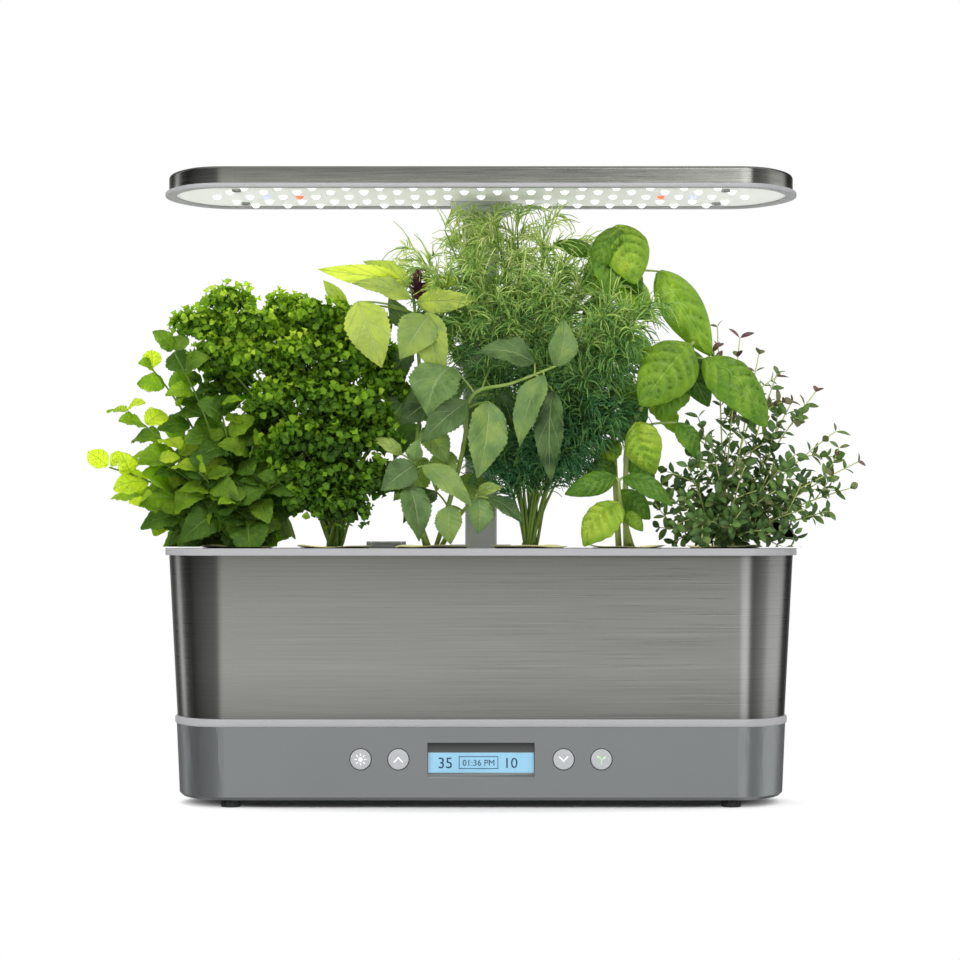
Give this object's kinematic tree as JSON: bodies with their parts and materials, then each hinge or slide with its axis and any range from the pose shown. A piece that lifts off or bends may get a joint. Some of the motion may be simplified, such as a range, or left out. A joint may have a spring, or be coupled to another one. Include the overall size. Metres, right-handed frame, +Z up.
{
  "type": "countertop hydroponic garden",
  "caption": "Long indoor hydroponic garden: brushed steel water tank on a control base, herbs in pods, and an LED lamp on a rising mast.",
  "frame": {"origin": "on the worktop, under the middle of the tank, at the underside of the feet", "axes": "+Z up, +X to the right along the tank, +Y to the back, so the display faces -Y"},
  "size_m": [0.5206, 0.13, 0.4155],
  "materials": {
    "grey_base": "satin, metallic grey paint look",
    "light_grey_plastic": "satin",
    "dark_plastic": "matte",
    "tank_plastic": "satin",
    "button_plastic": "satin",
    "brushed_steel": "brushed along its length",
    "steel_fasteners": "zinc plated",
    "foot_rubber": "matte",
    "circuit_board": "solder mask",
    "white_board": "white solder mask",
    "display": "lit from behind",
    "aluminium": "mill",
    "frame_plastic": "matte",
    "cable_sheath": "matte",
    "led_white": "lens",
    "led_red": "lens",
    "led_blue": "lens",
    "sponge": "open peat foam",
    "label_paper": "uncoated",
    "stalk_green": "fresh plant stalk",
    "leaf_green": "fresh leaf"
  },
  "bodies": {
    "root": {"base_housing": "grey_base", "bottom_cover": "dark_plastic", "base_screws": "steel_fasteners", "rubber_feet": "foot_rubber", "trim_band": "light_grey_plastic", "tank_bowl": "tank_plastic", "steel_wrap": "brushed_steel", "grow_deck": "light_grey_plastic", "fill_lid_pin": "steel_fasteners", "control_board": "circuit_board", "board_screws": "steel_fasteners", "lcd_module": "display", "display_window": "display", "tact_switches": "dark_plastic", "power_jack": "dark_plastic", "grow_baskets": "dark_plastic", "grow_sponges": "sponge", "pod_labels": "label_paper", "pump_body": "dark_plastic", "pump_cover": "dark_plastic", "pump_shaft": "steel_fasteners", "outlet_tube": "dark_plastic", "float_guide": "dark_plastic", "mast_socket": "light_grey_plastic", "mast_post": "light_grey_plastic", "mast_cap": "light_grey_plastic", "mint_stems": "stalk_green", "mint_leaves": "leaf_green", "parsley_stems": "stalk_green", "parsley_heads": "leaf_green", "thai_basil_stems": "stalk_green", "thai_basil_leaves": "leaf_green", "dill_stems": "stalk_green", "dill_fronds": "leaf_green", "basil_stems": "stalk_green", "basil_leaves": "leaf_green", "thyme_stems": "stalk_green", "thyme_leaves": "leaf_green"},
    "lamp": {"mast_sleeve": "light_grey_plastic", "neck_bracket": "light_grey_plastic", "lamp_cable": "cable_sheath", "lamp_bezel": "light_grey_plastic", "led_board": "white_board", "heat_spreader": "aluminium", "lamp_frame": "frame_plastic", "lamp_cover": "brushed_steel", "lamp_screws": "steel_fasteners", "leds_white": "led_white", "leds_red": "led_red", "leds_blue": "led_blue"},
    "fill_lid": {"fill_lid": "light_grey_plastic"},
    "water_float": {"water_float": "tank_plastic"},
    "pump_impeller": {"pump_impeller": "dark_plastic"},
    "button_light": {"button_light": "button_plastic"},
    "button_up": {"button_up": "button_plastic"},
    "button_down": {"button_down": "button_plastic"},
    "button_plants": {"button_plants": "button_plastic"}
  },
  "joints": [
    {"name": "lamp_lift", "type": "slide", "parent": "root", "child": "lamp", "axis": [0, 0, 1], "range_m": [0, 0.072]},
    {"name": "fill_lid_hinge", "type": "hinge", "parent": "root", "child": "fill_lid", "pos_m": [-0.065, 0.056, 0.1704], "axis": [-1, 0, 0], "range_deg": [0, 100]},
    {"name": "float_rise", "type": "slide", "parent": "root", "child": "water_float", "axis": [0, 0, 1], "range_m": [0, 0.07]},
    {"name": "impeller_spin", "type": "hinge", "parent": "root", "child": "pump_impeller", "pos_m": [0.13, 0, 0.0758], "axis": [0, 1, 0], "continuous": true},
    {"name": "button_light_press", "type": "slide", "parent": "root", "child": "button_light", "axis": [0, 1, 0], "range_m": [0, 0.001], "stiffness_N_per_m": 400, "springref_m": -0.0005},
    {"name": "button_up_press", "type": "slide", "parent": "root", "child": "button_up", "axis": [0, 1, 0], "range_m": [0, 0.001], "stiffness_N_per_m": 400, "springref_m": -0.0005},
    {"name": "button_down_press", "type": "slide", "parent": "root", "child": "button_down", "axis": [0, 1, 0], "range_m": [0, 0.001], "stiffness_N_per_m": 400, "springref_m": -0.0005},
    {"name": "button_plants_press", "type": "slide", "parent": "root", "child": "button_plants", "axis": [0, 1, 0], "range_m": [0, 0.001], "stiffness_N_per_m": 400, "springref_m": -0.0005}
  ]
}
